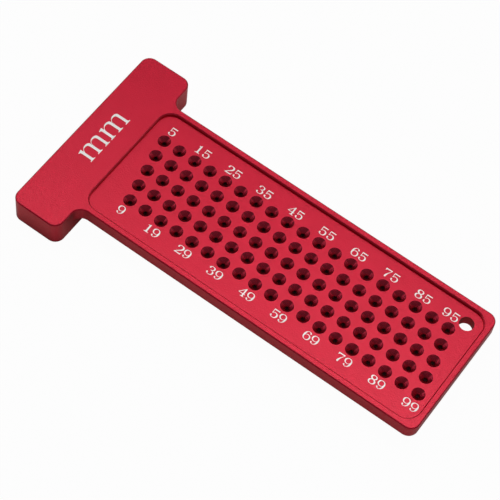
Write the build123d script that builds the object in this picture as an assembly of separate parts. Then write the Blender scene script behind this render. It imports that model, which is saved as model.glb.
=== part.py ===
from build123d import *
from math import cos, pi, radians, sin, tan
import os

# Hole positioning ruler: a T-shaped marking gauge milled from one aluminium plate.
# The head hooks over the edge of a board, the blade lies on the board, and a pencil or
# scriber point goes through the hole that carries the wanted distance in millimetres.
#
# X runs along the scale, away from the fence, so the number of a hole is its X.
# Y runs across the blade and Z is up. The origin is the zero of the scale: on the fence
# face, midway along it, where it meets the underside of the blade.
# All sizes are in millimetres.

# Scale: one hole for each step, each on the next row, so that neighbours stay apart.
first_mark = 5
last_mark = 99
mark_step = 1.0
row_count = 5
row_pitch = 5.0

# Scribing holes: a cone leads the point into a small hole that holds it upright.
# Their walls are cut as flats that touch the true circles and stray from them by less
# than 0.03 mm, because 95 round walls would make the ruler's mesh three times as heavy.
countersink_diameter = 3.6
countersink_angle = 90.0
point_hole_diameter = 1.0
flats_per_hole = 18

# Blade, with a shallow recess that keeps the marks below its rim.
blade_thickness = 4.5
end_margin = 5.0
side_margin = 10.0
blade_corner_radius = 2.75
rim_width = 1.8
recess_depth = 1.0
recess_corner_radius = 4.0

# Head: a bar across the end of the blade, flush on top and deeper below as a fence.
head_width = 15.0
head_overhang = 9.0
head_corner_radius = 2.75
fence_drop = 4.0
shoulder_radius = 3.0

# Hole for a peg, in the corner of the blade that is farthest from the head.
hanging_hole_diameter = 4.0
hanging_hole_inset = 6.0

# Broken edges: the milled upper ones are wider than the lower ones.
upper_edge_break = 0.3
lower_edge_break = 0.2

# Extra length of a cutter beyond the face that it goes through.
cutter_overrun = 0.5

# Sizes that follow from the ones above.
blade_length = last_mark * mark_step + end_margin
blade_width = (row_count - 1) * row_pitch + 2 * side_margin
head_span = blade_width + 2 * head_overhang
recess_floor = blade_thickness - recess_depth
recess_length = blade_length - rim_width
recess_width = blade_width - 2 * rim_width
countersink_slope = tan(radians(countersink_angle / 2))
countersink_depth = (countersink_diameter - point_hole_diameter) / 2 / countersink_slope


def mark_place(number):
    """Where the hole with this number goes: one step along, on the next row towards -Y."""
    row = number % row_count
    return number * mark_step, ((row_count - 1) / 2 - row) * row_pitch


def blade_plan():
    """Plan of the blade from the middle of the head to its far end, which has round corners."""
    start = -head_width / 2
    length = blade_length - start
    plan = Pos(start + length / 2, 0) * Rectangle(length, blade_width)
    return fillet(plan.vertices().group_by(Axis.X)[-1], blade_corner_radius)


def head_plan():
    """Plan of the head, whose inner long side is the fence face at X = 0."""
    return Pos(-head_width / 2, 0) * RectangleRounded(head_width, head_span, head_corner_radius)


def tee_plan():
    """Plan of head and blade together, with round inside corners where they meet."""
    plan = head_plan() + blade_plan()
    inside_corners = [
        plan.vertices().sort_by_distance((0, side * blade_width / 2))[0] for side in (-1, 1)
    ]
    return fillet(inside_corners, shoulder_radius)


def plate():
    """The T-shaped body before the recess and the holes are cut."""
    blade = extrude(blade_plan(), blade_thickness)
    blade = chamfer(blade.faces().sort_by(Axis.Z)[0].edges(), lower_edge_break)
    head = Pos(0, 0, -fence_drop) * extrude(head_plan(), fence_drop + blade_thickness)
    head = chamfer(head.faces().sort_by(Axis.Z)[0].edges(), lower_edge_break)
    # The rounded shoulders start where the broken lower edge of the blade ends.
    shoulders = Pos(0, 0, lower_edge_break) * extrude(tee_plan(), blade_thickness - lower_edge_break)
    return blade + head + shoulders


def recess_cutter():
    """Pocket in the top of the blade, from the line of the fence to the rim at the far end."""
    plan = RectangleRounded(recess_length, recess_width, recess_corner_radius)
    return Pos(recess_length / 2, 0, recess_floor) * extrude(plan, recess_depth + cutter_overrun)


def hole_ring(radius, height):
    """Corners of a scribing hole at one height, where its flats touch a circle of this radius."""
    corner_radius = radius / cos(pi / flats_per_hole)
    turns = [2 * pi * index / flats_per_hole for index in range(flats_per_hole)]
    return [Vector(corner_radius * cos(turn), corner_radius * sin(turn), height) for turn in turns]


def hole_wall(upper, lower):
    """The flats between two rings of a scribing hole."""
    after = range(-1, flats_per_hole - 1)
    return [
        Face(Wire.make_polygon([upper[i], lower[i], lower[i + 1], upper[i + 1]])) for i in after
    ]


def scribing_cutter():
    """Cutter for one scribing hole, with Z = 0 at the recess floor."""
    mouth_radius = countersink_diameter / 2 + cutter_overrun * countersink_slope
    point_radius = point_hole_diameter / 2
    mouth = hole_ring(mouth_radius, cutter_overrun)
    throat = hole_ring(point_radius, -countersink_depth)
    outlet = hole_ring(point_radius, -recess_floor - cutter_overrun)
    ends = [Face(Wire.make_polygon(ring)) for ring in (mouth, outlet)]
    return Solid(Shell(hole_wall(mouth, throat) + hole_wall(throat, outlet) + ends))


def scribing_cutters():
    """One cutter for each mark of the scale."""
    cutter = scribing_cutter()
    places = [mark_place(number) for number in range(first_mark, last_mark + 1)]
    return [Pos(x, y, recess_floor) * cutter for x, y in places]


def hanging_cutter():
    """Cutter for the plain hole near the far corner, through the recess floor."""
    length = recess_floor + 2 * cutter_overrun
    x = blade_length - hanging_hole_inset
    y = blade_width / 2 - hanging_hole_inset
    return Pos(x, y, recess_floor / 2) * Cylinder(hanging_hole_diameter / 2, length)


def ruler():
    """The finished ruler: one solid."""
    body = plate() - recess_cutter()
    body = chamfer(body.faces().sort_by(Axis.Z)[-1].edges(), upper_edge_break)
    return body - scribing_cutters() - hanging_cutter()


os.makedirs("parts", exist_ok=True)
export_step(ruler(), "parts/ruler_body.step")
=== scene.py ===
"""Looks of a hole positioning ruler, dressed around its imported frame.

The ruler is a T-shaped marking gauge, milled from one plate of aluminium, bead-blasted and
anodised red, with white numbers. X runs along the scale, away from the fence, so a hole's
number is its X in millimetres. Y runs across the blade and Z is up. All sizes are in metres,
and those of the ruler are written in millimetres times MM.
"""

import logging
import math
from collections.abc import Callable
from dataclasses import dataclass, field
from enum import Enum

import bmesh
import bpy
from bpy.types import Material, Mesh, Node, NodeSocket, NodeTree, Object
from mathutils import Matrix, Vector

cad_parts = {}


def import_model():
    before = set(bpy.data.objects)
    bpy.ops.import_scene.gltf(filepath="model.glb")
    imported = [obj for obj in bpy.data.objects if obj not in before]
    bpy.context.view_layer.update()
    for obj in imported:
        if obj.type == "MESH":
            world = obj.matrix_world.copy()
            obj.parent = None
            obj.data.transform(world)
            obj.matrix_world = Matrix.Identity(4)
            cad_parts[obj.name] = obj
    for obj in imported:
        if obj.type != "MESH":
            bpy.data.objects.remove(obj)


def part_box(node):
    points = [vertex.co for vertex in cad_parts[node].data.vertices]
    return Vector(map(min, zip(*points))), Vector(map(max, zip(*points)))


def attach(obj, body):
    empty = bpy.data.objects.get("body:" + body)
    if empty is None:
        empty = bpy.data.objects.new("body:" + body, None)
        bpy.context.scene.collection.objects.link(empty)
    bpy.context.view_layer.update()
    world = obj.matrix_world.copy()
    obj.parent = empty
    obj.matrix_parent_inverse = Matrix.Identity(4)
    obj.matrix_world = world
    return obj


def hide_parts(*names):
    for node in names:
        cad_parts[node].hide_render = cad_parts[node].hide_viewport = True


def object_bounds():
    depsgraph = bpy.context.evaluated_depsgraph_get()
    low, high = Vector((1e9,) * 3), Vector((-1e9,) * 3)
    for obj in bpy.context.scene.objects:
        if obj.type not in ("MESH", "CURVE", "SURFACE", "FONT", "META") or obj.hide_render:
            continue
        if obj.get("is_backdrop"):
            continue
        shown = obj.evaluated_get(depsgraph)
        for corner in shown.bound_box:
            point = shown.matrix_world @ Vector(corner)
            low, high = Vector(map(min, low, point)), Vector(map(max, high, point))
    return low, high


MM = 0.001
SAME_PLACE = 1e-6
FLAT_ANGLE = math.radians(1)
QUARTER_TURN = math.radians(90)
WHITE = (1.0, 1.0, 1.0, 1.0)
# A Mix node has one set of sockets for each type of data. These are its colour ones.
MIX_FIRST = 6
MIX_SECOND = 7
MIX_RESULT = 2
LOG = logging.getLogger("ruler")


class Cut(Enum):
    """What a second solid does to the first one."""

    JOIN = "UNION"
    REMOVE = "DIFFERENCE"


class Pick(Enum):
    """Which elements of a mesh a selection is made of."""

    POINTS = "VERT"
    EDGES = "EDGE"


class Knot(Enum):
    """How an outline passes one of its points."""

    SMOOTH = "AUTO"
    CORNER = "VECTOR"


def linear_colour(hex_code: str) -> tuple[float, float, float, float]:
    """Turns an sRGB hex colour into the linear one that a shader takes.

    Args:
        hex_code: Six hex digits, such as "d9384c".

    Returns:
        Red, green, blue and an alpha of 1.
    """
    parts = [int(hex_code[place:place + 2], 16) / 255 for place in (0, 2, 4)]
    low = [part / 12.92 for part in parts]
    high = [((part + 0.055) / 1.055) ** 2.4 for part in parts]
    red, green, blue = [h if part > 0.04045 else l for part, l, h in zip(parts, low, high)]
    return red, green, blue, 1.0


def add_node(tree: NodeTree, kind: str, sockets: dict | None = None, **settings: object) -> Node:
    """Adds a node with its settings and links.

    Args:
        tree: The tree that gets the node.
        kind: The node's type, such as "ShaderNodeBump".
        sockets: Input name or index, to a value or to the output socket that feeds it.
        settings: Properties of the node, such as operation="ADD".

    Returns:
        The new node.
    """
    node = tree.nodes.new(kind)
    for name, value in settings.items():
        setattr(node, name, value)
    for name, value in (sockets or {}).items():
        if isinstance(value, NodeSocket):
            tree.links.new(value, node.inputs[name])
        else:
            node.inputs[name].default_value = value
    return node


def new_material(name: str) -> tuple[Material, NodeTree]:
    """Makes an empty node material.

    Args:
        name: The finish that it stands for.

    Returns:
        The material and its node tree.
    """
    material = bpy.data.materials.new(name)
    material.use_nodes = True
    material.node_tree.nodes.clear()
    return material, material.node_tree


def white_share(tree: NodeTree, camera_share: float, gloss_share: float) -> NodeSocket:
    """Works out how much of plain white a ray sees in place of a surface.

    Args:
        tree: The tree that gets the nodes.
        camera_share: The share for the camera, also through glass.
        gloss_share: The share for reflections, which a satin metal gathers as light.

    Returns:
        The share for the ray, and none for the light that the surface sends out.
    """
    rays = add_node(tree, "ShaderNodeLightPath").outputs
    seen = add_node(
        tree,
        "ShaderNodeMath",
        {0: rays["Is Camera Ray"], 1: rays["Is Transmission Ray"]},
        operation="MAXIMUM",
    )
    seen_share = add_node(
        tree, "ShaderNodeMath", {0: seen.outputs[0], 1: camera_share}, operation="MULTIPLY"
    )
    share = add_node(
        tree,
        "ShaderNodeMath",
        {0: rays["Is Glossy Ray"], 1: gloss_share, 2: seen_share.outputs[0]},
        operation="MULTIPLY_ADD",
    )
    return share.outputs[0]


def deselect_all() -> None:
    """Leaves nothing selected, because an operator acts on all that is."""
    bpy.ops.object.select_all(action="DESELECT")
    bpy.context.view_layer.objects.active = None


def make_active(piece: Object) -> None:
    """Selects one object alone and makes it the active one.

    Args:
        piece: The object that the next operators act on.
    """
    deselect_all()
    piece.select_set(True)
    bpy.context.view_layer.objects.active = piece


def pick(kind: Pick, test: Callable[[object], bool]) -> None:
    """Selects the elements of the mesh in edit mode that pass a test, and no others.

    Args:
        kind: Points or edges.
        test: Takes a bmesh element and says whether it is wanted.
    """
    bpy.ops.mesh.select_mode(type=kind.value)
    bpy.ops.mesh.select_all(action="DESELECT")
    mesh = bpy.context.edit_object.data
    edited = bmesh.from_edit_mesh(mesh)
    elements = {Pick.POINTS: edited.verts, Pick.EDGES: edited.edges}[kind]
    for element in elements:
        if test(element):
            element.select_set(True)
    edited.select_flush_mode()
    bmesh.update_edit_mesh(mesh)


def extrude(offset: tuple[float, float, float]) -> None:
    """Extrudes what is selected by an offset."""
    bpy.ops.mesh.extrude_region_move(TRANSFORM_OT_translate={"value": offset})


def stretch(along: float, across: float, centre: tuple[float, float, float] = (0, 0, 0)) -> None:
    """Stretches what is selected along X and Y, away from a point."""
    bpy.ops.transform.resize(value=(along, across, 1), center_override=centre)


def round_corners(radius: float, steps: int) -> None:
    """Rounds the selected corners of a flat plan."""
    bpy.ops.mesh.bevel(affect="VERTICES", offset=radius, segments=steps)


def slope_in(size: float) -> None:
    """Moves the selected end outwards with a 45 degree slope round it."""
    bpy.ops.mesh.inset(thickness=size, depth=size)


def finish_edit(name: str) -> Object:
    """Closes edit mode with the faces pointing outwards.

    Args:
        name: The object's new name.

    Returns:
        The edited object.
    """
    bpy.ops.mesh.select_all(action="SELECT")
    bpy.ops.mesh.normals_make_consistent(inside=False)
    bpy.ops.object.mode_set(mode="OBJECT")
    piece = bpy.context.object
    piece.name = name
    piece.data.name = name
    return piece


def weld(piece: Object, name: str) -> Object:
    """Merges the points of an object that lie in the same place.

    Args:
        piece: The object.
        name: Its new name.

    Returns:
        The object, with its faces pointing outwards.
    """
    make_active(piece)
    bpy.ops.object.mode_set(mode="EDIT")
    bpy.ops.mesh.select_all(action="SELECT")
    bpy.ops.mesh.remove_doubles(threshold=SAME_PLACE)
    return finish_edit(name)


def rounded_plan(
    size: tuple[float, float], centre: tuple[float, float, float], radius: float, steps: int
) -> None:
    """Starts a mesh in edit mode with one flat face, a rectangle with round corners.

    Args:
        size: Its length along X and along Y.
        centre: Its middle.
        radius: The radius of its corners.
        steps: Segments in each corner.
    """
    deselect_all()
    bpy.ops.mesh.primitive_plane_add(size=1, enter_editmode=True)
    stretch(size[0], size[1])
    bpy.ops.transform.translate(value=centre)
    round_corners(radius, steps)


def combine(target: Object, other: Object, cut: Cut) -> None:
    """Joins a second solid to the first, or removes it from it, and deletes it.

    Args:
        target: The solid that changes.
        other: The solid that is used up.
        cut: What to do.
    """
    make_active(target)
    modifier = target.modifiers.new(cut.name, "BOOLEAN")
    modifier.operation = cut.value
    modifier.solver = "MANIFOLD"
    modifier.object = other
    bpy.ops.object.modifier_apply(modifier=modifier.name)
    bpy.data.objects.remove(other)


def join(pieces: list[Object], name: str) -> Object:
    """Joins objects into one.

    Args:
        pieces: The objects, of which the first one stays.
        name: Its new name.

    Returns:
        The joined object.
    """
    make_active(pieces[0])
    for piece in pieces:
        piece.select_set(True)
    bpy.ops.object.join()
    joined = bpy.context.object
    joined.name = name
    joined.data.name = name
    return joined


@dataclass(frozen=True)
class AnodisedAluminium:
    """Red anodised aluminium, bead-blasted first.

    The metal itself reflects red through the dyed oxide. The blasting leaves shallow dimples
    that spread each reflection to a satin sheen, and the sealed oxide over them is a thin
    clear coat that turns pale at a grazing angle.
    """

    name: str = "red_anodised_bead_blasted_aluminium"
    colour: str = "ce1b39"
    deep_colour: str = "c51833"
    edge_colour: str = "e48888"
    roughness: float = 0.40
    roughness_spread: float = 0.05
    oxide_weight: float = 1.0
    oxide_ior: float = 1.30
    oxide_roughness: float = 0.30
    # Real dimples are about 0.05 mm wide. They are drawn wider, so that they show.
    dimple_width: float = 0.28 * MM
    dimple_depth: float = 0.06 * MM
    dimple_detail: float = 1.0
    dye_patch_width: float = 9.0 * MM
    dye_detail: float = 3.0

    def tint(self, tree: NodeTree, place: NodeSocket) -> NodeSocket:
        """Varies the dye a little over the piece, as a bath does.

        Args:
            tree: The material's nodes.
            place: Object coordinates.

        Returns:
            The colour.
        """
        dye = add_node(
            tree,
            "ShaderNodeTexNoise",
            {"Vector": place, "Scale": 1 / self.dye_patch_width, "Detail": self.dye_detail},
        )
        mixed = add_node(
            tree,
            "ShaderNodeMix",
            {
                "Factor": dye.outputs["Fac"],
                MIX_FIRST: linear_colour(self.colour),
                MIX_SECOND: linear_colour(self.deep_colour),
            },
            data_type="RGBA",
        )
        return mixed.outputs[MIX_RESULT]

    def relief(self, tree: NodeTree, place: NodeSocket) -> Node:
        """Raises the blasted dimples.

        Args:
            tree: The material's nodes.
            place: Object coordinates.

        Returns:
            The bump node.
        """
        dimples = add_node(
            tree,
            "ShaderNodeTexNoise",
            {"Vector": place, "Scale": 1 / self.dimple_width, "Detail": self.dimple_detail},
        )
        return add_node(
            tree,
            "ShaderNodeBump",
            {"Height": dimples.outputs["Fac"], "Distance": self.dimple_depth, "Strength": 1.0},
        )

    def stretched(self, tree: NodeTree, place: NodeSocket) -> dict[str, object]:
        """Gives the sockets that stretch reflections: none, because the blast has no direction."""
        return {}

    def make(self) -> Material:
        """Builds the material.

        Returns:
            The new material.
        """
        material, tree = new_material(self.name)
        place = add_node(tree, "ShaderNodeTexCoord").outputs["Object"]
        relief = self.relief(tree, place)
        height = relief.inputs["Height"].links[0].from_socket
        # Hollows are a little glossier than ridges, so the satin face glitters faintly.
        gloss = add_node(
            tree,
            "ShaderNodeMapRange",
            {
                "Value": height,
                "To Min": self.roughness - self.roughness_spread,
                "To Max": self.roughness + self.roughness_spread,
            },
        )
        surface = add_node(
            tree,
            "ShaderNodeBsdfPrincipled",
            {
                "Base Color": self.tint(tree, place),
                "Metallic": 1.0,
                "Roughness": gloss.outputs["Result"],
                "Specular Tint": linear_colour(self.edge_colour),
                "Normal": relief.outputs["Normal"],
                "Coat Weight": self.oxide_weight,
                "Coat IOR": self.oxide_ior,
                "Coat Roughness": self.oxide_roughness,
                **self.stretched(tree, place),
            },
        )
        add_node(tree, "ShaderNodeOutputMaterial", {"Surface": surface.outputs["BSDF"]})
        return material


@dataclass(frozen=True)
class TurnedCountersink(AnodisedAluminium):
    """The same dyed metal where the countersink has turned it.

    The blasting hardly reaches into the holes, so they stay glossier, and the cutter's rings
    and flutes stay round each of them. Its finest rings stretch every reflection down the
    slope, so each lamp shows as a wedge of light. The drilled point hole is darkened with
    painted shade.
    """

    name: str = "red_anodised_turned_countersink"
    colour: str = "c22743"
    deep_colour: str = "b6213c"
    # Painted shade: the dark red that the point hole is coloured with.
    throat_colour: str = "3c0c14"
    roughness: float = 0.23
    roughness_spread: float = 0.04
    oxide_weight: float = 0.85
    point_radius: float = 0.5 * MM
    throat_fade: float = 0.12 * MM
    # Real rings are about 0.1 mm apart. They are drawn wider, so that they show.
    ring_pitch: float = 0.32 * MM
    ring_share: float = 0.2
    # The cutter chatters a little, which leaves a few shallow flutes round each cone.
    flute_scale: float = 1.6
    flute_detail: float = 1.0
    hole_seed: float = 7.3 / MM
    relief_depth: float = 0.08 * MM
    anisotropy: float = 0.75
    # The grid of holes: rows repeat along Y, and each is one step further along X.
    row_pitch: float = 5.0 * MM
    row_shift: float = 1.0 * MM
    middle_row: float = 2.0

    def hole_offset(self, tree: NodeTree, place: NodeSocket) -> NodeSocket:
        """Works out where a point lies from the middle of the nearest scribing hole.

        Args:
            tree: The material's nodes.
            place: Object coordinates.

        Returns:
            The level offset. Rows repeat along Y, and each row is one step further along X.
        """
        axes = add_node(tree, "ShaderNodeSeparateXYZ", {0: place}).outputs
        limits = {1: self.row_pitch / 2, 2: -self.row_pitch / 2}
        across = add_node(tree, "ShaderNodeMath", {0: axes["Y"], **limits}, operation="WRAP")
        row_place = add_node(
            tree, "ShaderNodeMath", {0: axes["Y"], 1: across.outputs[0]}, operation="SUBTRACT"
        )
        unshifted = add_node(
            tree,
            "ShaderNodeMath",
            {0: row_place.outputs[0], 1: self.row_shift / self.row_pitch, 2: axes["X"]},
            operation="MULTIPLY_ADD",
        )
        from_zero = add_node(
            tree,
            "ShaderNodeMath",
            {0: unshifted.outputs[0], 1: self.middle_row * self.row_shift},
            operation="SUBTRACT",
        )
        along = add_node(
            tree, "ShaderNodeMath", {0: from_zero.outputs[0], **limits}, operation="WRAP"
        )
        offset = add_node(
            tree, "ShaderNodeCombineXYZ", {"X": along.outputs[0], "Y": across.outputs[0]}
        )
        return offset.outputs[0]

    def hole_radius(self, tree: NodeTree, place: NodeSocket) -> NodeSocket:
        """Works out how far a point is from the middle of the nearest scribing hole.

        Args:
            tree: The material's nodes.
            place: Object coordinates.

        Returns:
            The distance.
        """
        offset = self.hole_offset(tree, place)
        return add_node(tree, "ShaderNodeVectorMath", {0: offset}, operation="LENGTH").outputs["Value"]

    def stretched(self, tree: NodeTree, place: NodeSocket) -> dict[str, object]:
        """Stretches reflections down the slope, across the turned rings."""
        return {"Anisotropic": self.anisotropy, "Tangent": self.hole_offset(tree, place)}

    def tint(self, tree: NodeTree, place: NodeSocket) -> NodeSocket:
        """Darkens the dye in the point hole as painted shade, so that the hole looks dark.

        Args:
            tree: The material's nodes.
            place: Object coordinates.

        Returns:
            The colour.
        """
        # Painted shade: inside the point radius the colour fades to a dark red, so the point hole
        # looks dark.
        outwards = add_node(
            tree,
            "ShaderNodeMapRange",
            {
                "Value": self.hole_radius(tree, place),
                "From Min": self.point_radius,
                "From Max": self.point_radius + self.throat_fade,
            },
        )
        mixed = add_node(
            tree,
            "ShaderNodeMix",
            {
                "Factor": outwards.outputs["Result"],
                MIX_FIRST: linear_colour(self.throat_colour),
                MIX_SECOND: super().tint(tree, place),
            },
            data_type="RGBA",
        )
        return mixed.outputs[MIX_RESULT]

    def relief(self, tree: NodeTree, place: NodeSocket) -> Node:
        """Raises the turned rings and the flutes.

        Args:
            tree: The material's nodes.
            place: Object coordinates.

        Returns:
            The bump node.
        """
        turns = add_node(
            tree,
            "ShaderNodeMath",
            {0: self.hole_radius(tree, place), 1: 2 * math.pi / self.ring_pitch},
            operation="MULTIPLY",
        )
        wave = add_node(tree, "ShaderNodeMath", {0: turns.outputs[0]}, operation="SINE")
        ring = add_node(
            tree,
            "ShaderNodeMapRange",
            {"Value": wave.outputs[0], "From Min": -1.0, "To Max": self.ring_share},
        )
        height = add_node(
            tree,
            "ShaderNodeMath",
            {0: self.flutes(tree, place), 1: 1 - self.ring_share, 2: ring.outputs["Result"]},
            operation="MULTIPLY_ADD",
        )
        return add_node(
            tree,
            "ShaderNodeBump",
            {"Height": height.outputs[0], "Distance": self.relief_depth, "Strength": 1.0},
        )

    def flutes(self, tree: NodeTree, place: NodeSocket) -> NodeSocket:
        """Varies the height round each cone, with its own pattern in each hole.

        Args:
            tree: The material's nodes.
            place: Object coordinates.

        Returns:
            The height, from 0 to 1.
        """
        offset = self.hole_offset(tree, place)
        bearing = add_node(tree, "ShaderNodeVectorMath", {0: offset}, operation="NORMALIZE")
        middle = add_node(
            tree, "ShaderNodeVectorMath", {0: place, 1: offset}, operation="SUBTRACT"
        )
        spread = add_node(
            tree,
            "ShaderNodeVectorMath",
            {
                0: middle.outputs[0],
                1: (self.hole_seed, self.hole_seed, 0.0),
                2: bearing.outputs[0],
            },
            operation="MULTIPLY_ADD",
        )
        noise = add_node(
            tree,
            "ShaderNodeTexNoise",
            {"Vector": spread.outputs[0], "Scale": self.flute_scale, "Detail": self.flute_detail},
        )
        return noise.outputs["Fac"]


@dataclass(frozen=True)
class LaserWhite:
    """White laser mark: the beam has bleached the dye and frosted the metal under it.

    The frosted metal gives the mark a bright, even shine, and the chalky oxide on it keeps it
    pale at a low angle.
    """

    name: str = "white_laser_marked_oxide"
    colour: str = "fbfaf8"
    metallic: float = 0.62
    roughness: float = 0.47
    powder: float = 0.8
    powder_roughness: float = 0.5
    # The frosted grain of the mark is finer than this. It is drawn as coarse as it shows.
    grain_width: float = 0.12 * MM
    grain_depth: float = 0.003 * MM
    grain_detail: float = 2.0

    def make(self) -> Material:
        """Builds the material.

        Returns:
            The new material.
        """
        material, tree = new_material(self.name)
        place = add_node(tree, "ShaderNodeTexCoord").outputs["Object"]
        grain = add_node(
            tree,
            "ShaderNodeTexNoise",
            {"Vector": place, "Scale": 1 / self.grain_width, "Detail": self.grain_detail},
        )
        relief = add_node(
            tree,
            "ShaderNodeBump",
            {"Height": grain.outputs["Fac"], "Distance": self.grain_depth, "Strength": 1.0},
        )
        surface = add_node(
            tree,
            "ShaderNodeBsdfPrincipled",
            {
                "Base Color": linear_colour(self.colour),
                "Metallic": self.metallic,
                "Roughness": self.roughness,
                "Sheen Weight": self.powder,
                "Sheen Roughness": self.powder_roughness,
                "Normal": relief.outputs["Normal"],
            },
        )
        add_node(tree, "ShaderNodeOutputMaterial", {"Surface": surface.outputs["BSDF"]})
        return material


@dataclass(frozen=True)
class StudioPaper:
    """Pale seamless paper under the ruler, which the camera sees as near white.

    Reflections see only a little of that white, because the satin metal would gather it as
    light and turn pink.
    """

    name: str = "pale_studio_paper"
    colour: str = "ececec"
    roughness: float = 0.9
    camera_share: float = 0.97
    gloss_share: float = 0.04

    def make(self) -> Material:
        """Builds the material.

        Returns:
            The new material.
        """
        material, tree = new_material(self.name)
        share = white_share(tree, self.camera_share, self.gloss_share)
        paper = add_node(
            tree,
            "ShaderNodeBsdfDiffuse",
            {"Color": linear_colour(self.colour), "Roughness": self.roughness},
        )
        white = add_node(tree, "ShaderNodeEmission", {"Color": WHITE, "Strength": 1.0})
        mixed = add_node(
            tree, "ShaderNodeMixShader", {0: share, 1: paper.outputs[0], 2: white.outputs[0]}
        )
        add_node(tree, "ShaderNodeOutputMaterial", {"Surface": mixed.outputs[0]})
        return material


@dataclass
class RulerBody:
    """The milled ruler: head, fence, blade, recess and all its holes, in one solid."""

    name: str = "ruler"
    node: str = "ruler_body"
    first_mark: int = 5
    last_mark: int = 99
    mark_step: float = 1.0 * MM
    row_count: int = 5
    row_pitch: float = 5.0 * MM
    mouth_radius: float = 1.8 * MM
    point_radius: float = 0.5 * MM
    side_margin: float = 10.0 * MM
    head_width: float = 15.0 * MM
    fence_drop: float = 4.0 * MM
    blade_thickness: float = 4.5 * MM
    outer_corner_radius: float = 2.75 * MM
    shoulder_radius: float = 3.0 * MM
    rim_width: float = 1.8 * MM
    recess_depth: float = 1.0 * MM
    recess_corner_radius: float = 4.0 * MM
    hanging_hole_radius: float = 2.0 * MM
    hanging_hole_inset: float = 6.0 * MM
    upper_edge_break: float = 0.3 * MM
    lower_edge_break: float = 0.2 * MM
    cutter_overrun: float = 0.5 * MM
    corner_steps: int = 16
    hole_sides: int = 48
    hanging_hole_sides: int = 96
    sharp_edge_angle: float = math.radians(30)

    def __post_init__(self) -> None:
        """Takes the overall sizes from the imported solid."""
        low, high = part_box(self.node)
        self.blade_length = high.x
        self.head_span = high.y - low.y
        self.blade_width = (self.row_count - 1) * self.row_pitch + 2 * self.side_margin
        self.floor_height = self.blade_thickness - self.recess_depth

    def mark_place(self, number: int) -> Vector:
        """Gives the middle of a scribing hole at the recess floor.

        Args:
            number: The number on the scale.

        Returns:
            One step along the scale for each number, on the next row towards -Y.
        """
        row = number % self.row_count
        across = ((self.row_count - 1) / 2 - row) * self.row_pitch
        return Vector((number * self.mark_step, across, self.floor_height))

    def tee(self) -> Object:
        """Makes the upper part of the T, from just above the underside, with its top edges broken.

        Returns:
            A closed solid.
        """
        deselect_all()
        # Three strips across the head: the middle one becomes as wide as the blade.
        bpy.ops.mesh.primitive_grid_add(
            x_subdivisions=1, y_subdivisions=3, size=1, enter_editmode=True
        )
        strip = self.head_span / 3
        stretch(self.head_width, self.head_span)
        pick(Pick.POINTS, lambda point: abs(point.co.y) < strip)
        stretch(1, self.blade_width / strip)
        bpy.ops.mesh.select_all(action="SELECT")
        bpy.ops.transform.translate(value=(-self.head_width / 2, 0, self.lower_edge_break))
        pick(Pick.EDGES, lambda edge: all(self.is_blade_root(point) for point in edge.verts))
        extrude((self.blade_length, 0, 0))
        bpy.ops.mesh.select_all(action="SELECT")
        bpy.ops.mesh.dissolve_limited(angle_limit=FLAT_ANGLE)
        pick(Pick.POINTS, self.is_blade_root)
        round_corners(self.shoulder_radius, self.corner_steps)
        pick(Pick.POINTS, self.is_outer_corner)
        round_corners(self.outer_corner_radius, self.corner_steps)
        bpy.ops.mesh.select_all(action="SELECT")
        extrude((0, 0, self.blade_thickness - self.upper_edge_break - self.lower_edge_break))
        slope_in(self.upper_edge_break)
        return finish_edit(self.name)

    def is_blade_root(self, point: bmesh.types.BMVert) -> bool:
        """Says whether a point of the plan is where a side of the blade meets the fence."""
        at_side = abs(abs(point.co.y) - self.blade_width / 2) < SAME_PLACE
        return at_side and abs(point.co.x) < SAME_PLACE

    def is_outer_corner(self, point: bmesh.types.BMVert) -> bool:
        """Says whether a point of the sharp T plan is one of its six outer corners."""
        at_head_end = abs(abs(point.co.y) - self.head_span / 2) < SAME_PLACE
        return at_head_end or abs(point.co.x - self.blade_length) < SAME_PLACE

    def lower_block(self, start: float, end: float, width: float, drop: float) -> Object:
        """Makes a block under the T, with the edges of its underside broken.

        Args:
            start: Its lowest X.
            end: Its highest X.
            width: Its size along Y.
            drop: How far its underside lies below the blade's.

        Returns:
            A closed solid that ends where the T starts.
        """
        middle = ((start + end) / 2, 0, self.lower_edge_break)
        rounded_plan((end - start, width), middle, self.outer_corner_radius, self.corner_steps)
        bpy.ops.mesh.flip_normals()
        if drop > 0:
            extrude((0, 0, -drop))
            slope_in(self.lower_edge_break)
        else:
            # Only the broken edge is below the T, so a copy of the plan closes its top.
            bpy.ops.mesh.duplicate()
            slope_in(self.lower_edge_break)
            bpy.ops.mesh.select_all(action="SELECT")
            bpy.ops.mesh.remove_doubles(threshold=SAME_PLACE)
        return finish_edit("lower_block")

    def recess_cutter(self) -> Object:
        """Makes the cutter of the recess, flared at the top so that it breaks the rim's edge.

        Returns:
            A closed solid from the recess floor to above the blade.
        """
        flare = self.upper_edge_break + self.cutter_overrun
        length = self.blade_length - self.rim_width
        width = self.blade_width - 2 * self.rim_width
        middle = (length / 2, 0, self.blade_thickness + 2 * self.cutter_overrun)
        rounded_plan(
            (length + 2 * flare, width + 2 * flare),
            middle,
            self.recess_corner_radius + flare,
            self.corner_steps,
        )
        bpy.ops.mesh.flip_normals()
        extrude((0, 0, -self.cutter_overrun))
        slope_in(flare)
        extrude((0, 0, self.floor_height - (self.blade_thickness - self.upper_edge_break)))
        return finish_edit("recess_cutter")

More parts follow.
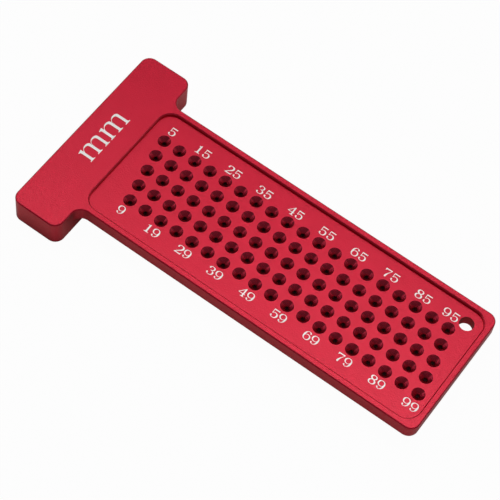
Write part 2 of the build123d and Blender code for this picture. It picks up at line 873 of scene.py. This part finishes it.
    def scribing_cutters(self) -> Object:
        """Makes one cutter for each mark: a narrow drill below a 90 degree countersink.

        Returns:
            All cutters as one object.
        """
        deselect_all()
        cone_depth = self.mouth_radius - self.point_radius
        wide_radius = self.mouth_radius + self.cutter_overrun
        bpy.ops.mesh.primitive_circle_add(
            vertices=self.hole_sides,
            radius=self.point_radius,
            fill_type="NGON",
            enter_editmode=True,
        )
        bottom = -self.floor_height - self.cutter_overrun
        bpy.ops.transform.translate(value=(0, 0, bottom))
        extrude((0, 0, -cone_depth - bottom))
        extrude((0, 0, cone_depth + self.cutter_overrun))
        growth = wide_radius / self.point_radius
        stretch(growth, growth, (0, 0, self.cutter_overrun))
        master = finish_edit("scribing_cutter")
        cutters = []
        for number in range(self.first_mark, self.last_mark + 1):
            cutter = master.copy()
            cutter.data = master.data.copy()
            cutter.data.transform(Matrix.Translation(self.mark_place(number)))
            bpy.context.scene.collection.objects.link(cutter)
            cutters.append(cutter)
        bpy.data.objects.remove(master)
        return join(cutters, "scribing_cutters")

    def hanging_cutter(self) -> Object:
        """Makes the cutter for the plain hole near the far corner.

        Returns:
            A closed cylinder, longer than the recess floor is thick.
        """
        deselect_all()
        bpy.ops.mesh.primitive_circle_add(
            vertices=self.hanging_hole_sides,
            radius=self.hanging_hole_radius,
            fill_type="NGON",
            enter_editmode=True,
        )
        across = self.blade_width / 2 - self.hanging_hole_inset
        along = self.blade_length - self.hanging_hole_inset
        bpy.ops.transform.translate(value=(along, across, -self.cutter_overrun))
        extrude((0, 0, self.floor_height + 2 * self.cutter_overrun))
        return finish_edit("hanging_cutter")

    def build(self) -> Object:
        """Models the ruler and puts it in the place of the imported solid.

        Returns:
            The finished piece.
        """
        body = self.tee()
        head = self.lower_block(-self.head_width, 0.0, self.head_span, self.fence_drop)
        blade = self.lower_block(-self.head_width / 2, self.blade_length, self.blade_width, 0.0)
        combine(head, blade, Cut.JOIN)
        combine(body, head, Cut.JOIN)
        combine(body, self.recess_cutter(), Cut.REMOVE)
        combine(body, self.scribing_cutters(), Cut.REMOVE)
        combine(body, self.hanging_cutter(), Cut.REMOVE)
        body = weld(body, self.name)
        bpy.ops.object.shade_smooth_by_angle(angle=self.sharp_edge_angle)
        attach(body, "root")
        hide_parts(self.node)
        return body

    def is_in_hole(self, place: Vector) -> bool:
        """Says whether a place on the surface lies inside a scribing hole.

        Args:
            place: The middle of a face.

        Returns:
            True between the recess floor and the underside, within the mouth of a hole.
        """
        if not SAME_PLACE < place.z < self.floor_height - SAME_PLACE:
            return False
        row = (self.row_count - 1) / 2 - round(place.y / self.row_pitch)
        number = row + self.row_count * round((place.x / self.mark_step - row) / self.row_count)
        middle = self.mark_place(int(number))
        return (place - middle).to_2d().length < self.mouth_radius and number >= self.first_mark

    def dress(self, body: Object, blasted: AnodisedAluminium, turned: TurnedCountersink) -> None:
        """Gives the body its finish, and the scribing holes theirs.

        Args:
            body: The piece.
            blasted: The finish of its outer faces.
            turned: The finish inside the scribing holes.
        """
        body.data.materials.clear()
        body.data.materials.append(blasted.make())
        body.data.materials.append(turned.make())
        for face in body.data.polygons:
            face.material_index = int(self.is_in_hole(face.center))


Outline = tuple[tuple[float, float, Knot], ...]
# Short names for the tables of outlines.
S = Knot.SMOOTH
C = Knot.CORNER
CURVE_STEPS = 6
# The outlines are drawn a little heavy, so each side of a stroke loses this much.
STROKE_TRIM = 0.045 * MM

# Serif numerals with ball ends, as an engraver's font has them: each outline goes once round
# its stroke, in millimetres from the middle of the digit's foot. A second outline is a hole.
NUMERALS: dict[str, tuple[Outline, ...]] = {
    "1": (
        (
            (-0.72, 0.0, C), (0.78, 0.0, C), (0.78, 0.25, C), (0.42, 0.31, S), (0.29, 0.6, C),
            (0.29, 2.62, C), (0.1, 2.62, C), (-0.2, 2.42, S), (-0.6, 2.33, C), (-0.6, 2.12, C),
            (-0.25, 2.1, C), (-0.25, 0.6, C), (-0.36, 0.31, S), (-0.72, 0.25, C),
        ),
    ),
    "2": (
        (
            (-0.95, 0.0, C), (1.0, 0.0, C), (1.12, 0.78, C), (0.94, 0.78, C), (0.84, 0.5, S),
            (0.6, 0.4, S), (-0.42, 0.4, C), (0.35, 0.95, S), (0.93, 1.42, S), (1.12, 1.95, S),
            (0.84, 2.44, S), (0.15, 2.62, S), (-0.6, 2.45, S), (-0.9, 1.98, S), (-0.62, 1.7, S),
            (-0.36, 1.95, S), (-0.4, 2.2, S), (0.1, 2.37, S), (0.55, 1.93, S), (0.3, 1.4, S),
            (-0.4, 0.78, S), (-0.95, 0.22, C),
        ),
    ),
    "3": (
        (
            (-0.62, 1.8, S), (-0.9, 2.06, S), (-0.66, 2.44, S), (0.0, 2.62, S), (0.68, 2.44, S),
            (0.92, 1.99, S), (0.76, 1.58, S), (0.46, 1.4, C), (0.88, 1.2, S), (1.06, 0.78, S),
            (0.76, 0.2, S), (0.0, -0.03, S), (-0.7, 0.16, S), (-0.92, 0.5, S), (-0.64, 0.78, S),
            (-0.37, 0.52, S), (-0.4, 0.32, S), (0.0, 0.21, S), (0.4, 0.36, S), (0.54, 0.76, S),
            (0.4, 1.14, S), (0.05, 1.29, C), (-0.25, 1.29, C), (-0.25, 1.5, C), (0.05, 1.5, C),
            (0.34, 1.66, S), (0.45, 1.99, S), (0.3, 2.28, S), (0.0, 2.38, S), (-0.4, 2.24, S),
            (-0.36, 2.06, S),
        ),
    ),
    "4": (
        (
            (0.42, 2.64, C), (0.7, 2.64, C), (0.7, 1.0, C), (1.04, 1.0, C), (1.04, 0.77, C),
            (0.7, 0.75, C), (0.7, 0.46, C), (0.78, 0.27, S), (1.02, 0.21, C), (1.02, 0.0, C),
            (-0.1, 0.0, C), (-0.1, 0.21, C), (0.14, 0.27, S), (0.24, 0.46, C), (0.24, 0.75, C),
            (-1.02, 0.77, C), (-1.02, 0.95, C),
        ),
        ((0.24, 1.0, C), (0.24, 2.06, C), (-0.66, 1.0, C)),
    ),
    "5": (
        (
            (-0.76, 2.6, C), (1.0, 2.6, C), (0.94, 2.2, C), (-0.5, 2.2, C), (-0.5, 1.52, C),
            (-0.2, 1.66, S), (0.18, 1.71, S), (0.83, 1.47, S), (1.1, 0.88, S), (0.8, 0.2, S),
            (0.06, -0.05, S), (-0.68, 0.15, S), (-0.92, 0.52, S), (-0.64, 0.82, S), (-0.37, 0.55, S),
            (-0.4, 0.34, S), (0.03, 0.19, S), (0.45, 0.38, S), (0.58, 0.88, S), (0.45, 1.3, S),
            (0.08, 1.44, S), (-0.3, 1.35, S), (-0.56, 1.15, C), (-0.76, 1.15, C),
        ),
    ),
    "6": (
        (
            (0.12, 2.62, S), (0.66, 2.48, S), (0.87, 2.18, S), (0.6, 1.94, S), (0.35, 2.18, S),
            (0.34, 2.34, S), (0.12, 2.41, S), (-0.3, 2.15, S), (-0.48, 1.5, C), (-0.25, 1.65, S),
            (0.15, 1.74, S), (0.85, 1.5, S), (1.13, 0.86, S), (0.83, 0.18, S), (0.05, -0.05, S),
            (-0.72, 0.24, S), (-1.03, 1.2, S), (-0.7, 2.2, S),
        ),
        (
            (0.1, 1.48, S), (0.48, 1.34, S), (0.67, 0.86, S), (0.48, 0.36, S), (0.08, 0.19, S),
            (-0.36, 0.36, S), (-0.54, 0.86, S), (-0.36, 1.34, S),
        ),
    ),
    "7": (
        (
            (-0.95, 2.6, C), (1.02, 2.6, C), (1.02, 2.38, C), (0.6, 1.66, S), (0.33, 1.05, S),
            (0.22, 0.5, S), (0.17, 0.1, S), (-0.1, -0.04, S), (-0.36, 0.12, S), (-0.34, 0.5, S),
            (-0.07, 1.1, S), (0.36, 1.72, S), (0.66, 2.2, C), (-0.3, 2.2, S), (-0.58, 2.13, S),
            (-0.72, 1.9, C), (-0.95, 1.9, C),
        ),
    ),
    "8": (
        (
            (0.0, 2.66, S), (0.66, 2.5, S), (0.94, 2.04, S), (0.78, 1.64, S), (0.6, 1.42, S),
            (0.9, 1.18, S), (1.07, 0.72, S), (0.78, 0.17, S), (0.0, -0.05, S), (-0.78, 0.17, S),
            (-1.06, 0.7, S), (-0.9, 1.14, S), (-0.58, 1.38, S), (-0.8, 1.62, S), (-0.95, 2.0, S),
            (-0.67, 2.5, S),
        ),
        (
            (0.02, 2.42, S), (0.35, 2.32, S), (0.48, 2.02, S), (0.36, 1.74, S), (0.08, 1.6, S),
            (-0.24, 1.76, S), (-0.44, 2.02, S), (-0.32, 2.32, S),
        ),
        (
            (-0.04, 1.22, S), (0.36, 1.04, S), (0.54, 0.68, S), (0.36, 0.3, S), (-0.02, 0.18, S),
            (-0.42, 0.3, S), (-0.58, 0.68, S), (-0.42, 1.04, S),
        ),
    ),
}
NUMERAL_HEIGHT = 2.58


def half_turn(outlines: tuple[Outline, ...], height: float) -> tuple[Outline, ...]:
    """Turns a character upside down, as a 6 makes a 9.

    Args:
        outlines: Its outlines.
        height: Its height above its foot.

    Returns:
        The turned outlines.
    """
    return tuple(tuple((-x, height - y, knot) for x, y, knot in outline) for outline in outlines)


NUMERALS["9"] = half_turn(NUMERALS["6"], NUMERAL_HEIGHT)


def stamp(name: str, outlines: tuple[Outline, ...], thickness: float) -> Mesh:
    """Makes a flat character with its outlines' smooth or sharp turns.

    Args:
        name: The mesh's name.
        outlines: Its outlines in millimetres, the outer one first.
        thickness: How thick the plate is.

    Returns:
        A closed mesh with half of its thickness on each side of Z = 0.
    """
    curve = bpy.data.curves.new(name, "CURVE")
    curve.dimensions = "2D"
    curve.fill_mode = "BOTH"
    curve.extrude = thickness / 2
    curve.resolution_u = CURVE_STEPS
    curve.offset = -STROKE_TRIM
    for outline in outlines:
        spline = curve.splines.new("BEZIER")
        spline.bezier_points.add(len(outline) - 1)
        spline.use_cyclic_u = True
        for point, (x, y, knot) in zip(spline.bezier_points, outline):
            point.co = (x * MM, y * MM, 0)
            point.handle_left_type = knot.value
            point.handle_right_type = knot.value
    drawn = bpy.data.objects.new(name, curve)
    bpy.context.scene.collection.objects.link(drawn)
    make_active(drawn)
    bpy.ops.object.convert(target="MESH")
    plate = weld(bpy.context.object, name)
    mesh = plate.data
    bpy.data.objects.remove(plate)
    return mesh


@dataclass
class Lettering:
    """White laser marks: characters that lie in a flat surface and stand out by a hair."""

    thickness: float = 0.03 * MM
    masters: dict[str, Mesh] = field(default_factory=dict)

    def character(self, name: str, key: str, outlines: tuple[Outline, ...], place: Matrix) -> Object:
        """Sets one character, from a master that is drawn once.

        Args:
            name: The object's name.
            key: Which character it is.
            outlines: Its outlines.
            place: From the character's own axes to the ruler's.

        Returns:
            The object, with its place in its mesh.
        """
        if key not in self.masters:
            self.masters[key] = stamp(key, outlines, self.thickness)
        mesh = self.masters[key].copy()
        mesh.transform(place)
        piece = bpy.data.objects.new(name, mesh)
        bpy.context.scene.collection.objects.link(piece)
        return piece

    def dress(self, piece: Object, finish: Material) -> None:
        """Gives a mark its finish, and makes it part of the ruler.

        Args:
            piece: The number or the unit mark.
            finish: The material of all marks.
        """
        piece.data.materials.clear()
        piece.data.materials.append(finish)
        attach(piece, "root")


@dataclass
class ScaleNumbers(Lettering):
    """The numbers beside the first and the last row of scribing holes."""

    floor_height: float = 3.5 * MM
    digit_pitch: float = 2.4 * MM
    back_foot: float = 12.4 * MM
    front_foot: float = -15.0 * MM
    back_numbers: range = range(5, 96, 10)
    front_numbers: range = range(9, 100, 10)
    # The last number of the back row makes room for the hanging hole.
    shifted_number: int = 95
    shift: float = -1.6 * MM

    def build(self) -> list[Object]:
        """Sets all numbers.

        Returns:
            One piece for each number.
        """
        rows = [(number, self.back_foot) for number in self.back_numbers]
        rows += [(number, self.front_foot) for number in self.front_numbers]
        return [self.number(number, foot) for number, foot in rows]

    def number(self, number: int, foot: float) -> Object:
        """Sets one number, centred on its hole.

        Args:
            number: The number.
            foot: Where its lower edge lies along Y.

        Returns:
            The piece.
        """
        digits = str(number)
        middle = number * MM + (self.shift if number == self.shifted_number else 0.0)
        pieces = []
        for index, digit in enumerate(digits):
            along = middle + (index - (len(digits) - 1) / 2) * self.digit_pitch
            place = Matrix.Translation((along, foot, self.floor_height))
            pieces.append(self.character(f"number_{number}", digit, NUMERALS[digit], place))
        return join(pieces, f"number_{number}")


@dataclass
class UnitMark(Lettering):
    """The unit of the scale on the head, reading along the fence."""

    top_height: float = 4.5 * MM
    centre: tuple[float, float] = (-7.9 * MM, 0.75 * MM)
    letters: str = "mm"
    letter_pitch: float = 8.7 * MM
    # Sizes of one letter, in millimetres as the numerals' outlines are.
    letter_height: float = 4.6
    stem_width: float = 0.85
    stem_pitch: float = 3.1
    stem_count: int = 3
    serif_reach: float = 0.5
    serif_height: float = 0.3
    bracket_reach: float = 0.15
    bracket_height: float = 0.4
    bracket_foot: float = 0.08
    # Outlines that hang from the letter's top. They fit the sizes above: an arch starts at the
    # right side of a stem, and the serif at the left side of the first stem.
    inner_arch: Outline = (
        (0.0, -1.55, C), (0.45, -0.82, S), (1.25, -0.5, S), (2.05, -0.78, S), (2.25, -1.4, C),
    )
    outer_arch: Outline = (
        (3.1, -1.4, C), (2.92, -0.42, S), (1.6, 0.0, S), (0.7, -0.32, S), (0.0, -0.95, C),
    )
    head_serif: Outline = (
        (0.85, 0.0, C), (0.65, 0.0, C), (-0.5, -0.28, C), (-0.5, -0.56, C), (-0.12, -0.66, S),
        (0.0, -1.0, C),
    )

    def foot(self, left: float) -> list[tuple[float, float, Knot]]:
        """Outlines the serif foot of one stem, from its left side to its right.

        Args:
            left: Where the stem's left side is.

        Returns:
            The knots.
        """
        right = left + self.stem_width
        rise = self.serif_height
        return [
            (left, rise + self.bracket_height, C),
            (left - self.bracket_reach, rise + self.bracket_foot, S),
            (left - self.serif_reach, rise, C),
            (left - self.serif_reach, 0.0, C),
            (right + self.serif_reach, 0.0, C),
            (right + self.serif_reach, rise, C),
            (right + self.bracket_reach, rise + self.bracket_foot, S),
            (right, rise + self.bracket_height, C),
        ]

    def hung(self, outline: Outline, along: float) -> list[tuple[float, float, Knot]]:
        """Moves an outline to a place along the letter, hung from its top."""
        return [(along + x, self.letter_height + y, knot) for x, y, knot in outline]

    def letter(self) -> tuple[Outline, ...]:
        """Outlines the letter m: over its feet and inner arches, then back over its outer arches.

        Returns:
            One outline.
        """
        stems = [index * self.stem_pitch for index in range(self.stem_count)]
        gaps = [stem + self.stem_width for stem in stems[:-1]]
        knots = self.foot(stems[0])
        for gap, after in zip(gaps, stems[1:]):
            knots += self.hung(self.inner_arch, gap) + self.foot(after)
        for gap in reversed(gaps):
            knots += self.hung(self.outer_arch, gap)
        knots += self.hung(self.head_serif, stems[0])
        return (tuple(knots),)

    def build(self) -> Object:
        """Sets the letters side by side, with their heads away from the blade.

        Returns:
            The piece.
        """
        pieces = []
        span = (self.stem_count - 1) * self.stem_pitch + self.stem_width
        to_middle = Matrix.Translation((-span / 2 * MM, -self.letter_height / 2 * MM, 0))
        turn = Matrix.Rotation(QUARTER_TURN, 4, "Z")
        for index, letter in enumerate(self.letters):
            along = self.centre[1] + (index - (len(self.letters) - 1) / 2) * self.letter_pitch
            spot = Matrix.Translation((self.centre[0], along, self.top_height))
            pieces.append(self.character("unit_mark", letter, self.letter(), spot @ turn @ to_middle))
        return join(pieces, "unit_mark")


@dataclass(frozen=True)
class Softbox:
    """Soft rectangular lamp. Its brightness is that of its face, where 1 is white."""

    name: str
    place: tuple[float, float, float]
    size: tuple[float, float]
    brightness: float

    def hang(self, aim: tuple[float, float, float]) -> None:
        """Adds the lamp to the scene.

        Args:
            aim: The point that it faces.
        """
        data = bpy.data.lights.new(self.name, "AREA")
        data.shape = "RECTANGLE"
        data.size, data.size_y = self.size
        data.energy = self.brightness * math.pi * self.size[0] * self.size[1]
        lamp = bpy.data.objects.new(self.name, data)
        lamp.location = self.place
        lamp.rotation_euler = (Vector(aim) - Vector(self.place)).to_track_quat("-Z", "Y").to_euler()
        bpy.context.scene.collection.objects.link(lamp)


@dataclass
class Studio:
    """Floor, lamps, surroundings and camera."""

    floor_height: float
    floor_size: float = 6.0
    wall_brightness: float = 0.13
    wall_camera_share: float = 1.0
    wall_gloss_share: float = 0.03
    lamp_aim: tuple[float, float, float] = (0.04, 0.0, 0.0)
    # The first four hang high and give the top its even sheen and each hole its wedges of
    # light. The others stand low, so that the upright faces aren't black.
    lamps: tuple[Softbox, ...] = (
        Softbox("key_softbox", (0.05, 0.28, 1.0), (0.4, 0.4), 3.6),
        Softbox("left_key_softbox", (-0.35, 0.25, 1.0), (0.35, 0.35), 2.5),
        Softbox("right_top_softbox", (0.45, -0.1, 1.0), (0.4, 0.4), 0.7),
        Softbox("left_softbox", (-1.3, 0.1, 0.9), (0.8, 0.8), 1.75),
        Softbox("front_softbox", (-0.95, -0.6, 0.42), (0.5, 0.45), 0.8),
        Softbox("right_softbox", (0.85, 0.62, 0.33), (0.7, 0.4), 0.45),
        Softbox("back_softbox", (0.0, 1.2, 0.5), (1.8, 0.5), 0.6),
        Softbox("low_front_softbox", (1.0, -1.0, 0.16), (2.4, 0.26), 1.0),
    )
    camera_aim: tuple[float, float, float] = (42.138 * MM, -2.696 * MM, 3.5 * MM)
    camera_distance: float = 484.99 * MM
    camera_azimuth: float = math.radians(28.281)
    camera_elevation: float = math.radians(60.251)
    camera_roll: float = math.radians(8.674)
    camera_lens: float = 136.156
    camera_near_limit: float = 10.0 * MM

    def floor(self, finish: StudioPaper) -> None:
        """Lays the paper under the ruler.

        Args:
            finish: The paper.
        """
        deselect_all()
        bpy.ops.mesh.primitive_plane_add(size=self.floor_size, location=(0, 0, 0))
        floor = bpy.context.object
        floor.name = "studio_floor"
        floor.data.transform(Matrix.Translation((0, 0, self.floor_height)))
        floor.data.materials.append(finish.make())
        floor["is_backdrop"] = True

    def surroundings(self) -> None:
        """Sets the studio's dim walls, which the camera sees as white."""
        world = bpy.data.worlds.new("studio")
        bpy.context.scene.world = world
        world.use_nodes = True
        tree = world.node_tree
        tree.nodes.clear()
        share = white_share(tree, self.wall_camera_share, self.wall_gloss_share)
        walls = add_node(
            tree, "ShaderNodeBackground", {"Color": WHITE, "Strength": self.wall_brightness}
        )
        white = add_node(tree, "ShaderNodeBackground", {"Color": WHITE, "Strength": 1.0})
        mixed = add_node(
            tree, "ShaderNodeMixShader", {0: share, 1: walls.outputs[0], 2: white.outputs[0]}
        )
        add_node(tree, "ShaderNodeOutputWorld", {"Surface": mixed.outputs[0]})

    def light(self) -> None:
        """Hangs the lamps."""
        for lamp in self.lamps:
            lamp.hang(self.lamp_aim)

    def camera(self) -> None:
        """Sets the camera at the photograph's viewing angle."""
        data = bpy.data.cameras.new("camera")
        data.lens = self.camera_lens
        data.clip_start = self.camera_near_limit
        camera = bpy.data.objects.new("camera", data)
        flat = math.cos(self.camera_elevation)
        back = Vector(
            (
                math.sin(self.camera_azimuth) * flat,
                -math.cos(self.camera_azimuth) * flat,
                math.sin(self.camera_elevation),
            )
        )
        camera.location = Vector(self.camera_aim) + back * self.camera_distance
        upright = (-back).to_track_quat("-Z", "Y").to_matrix().to_4x4()
        camera.rotation_euler = (upright @ Matrix.Rotation(self.camera_roll, 4, "Z")).to_euler()
        bpy.context.scene.collection.objects.link(camera)
        bpy.context.scene.camera = camera


def report(piece: Object) -> None:
    """Logs a finished piece and its number of faces."""
    LOG.info("%s: %d faces", piece.name, len(piece.data.polygons))


def main() -> None:
    """Builds and dresses the ruler, then sets the studio around it."""
    logging.basicConfig(level=logging.INFO, format="%(name)s: %(message)s")
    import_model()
    packed_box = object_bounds()
    ruler = RulerBody()
    body = ruler.build()
    ruler.dress(body, AnodisedAluminium(), TurnedCountersink())
    report(body)
    white = LaserWhite().make()
    numbers = ScaleNumbers(floor_height=ruler.floor_height)
    for piece in numbers.build():
        numbers.dress(piece, white)
        report(piece)
    unit = UnitMark(top_height=ruler.blade_thickness)
    mark = unit.build()
    unit.dress(mark, white)
    report(mark)
    studio = Studio(floor_height=packed_box[0].z)
    studio.floor(StudioPaper())
    studio.surroundings()
    studio.light()
    studio.camera()
    bpy.context.scene.view_settings.view_transform = "Standard"


if __name__ == "__main__":
    main()
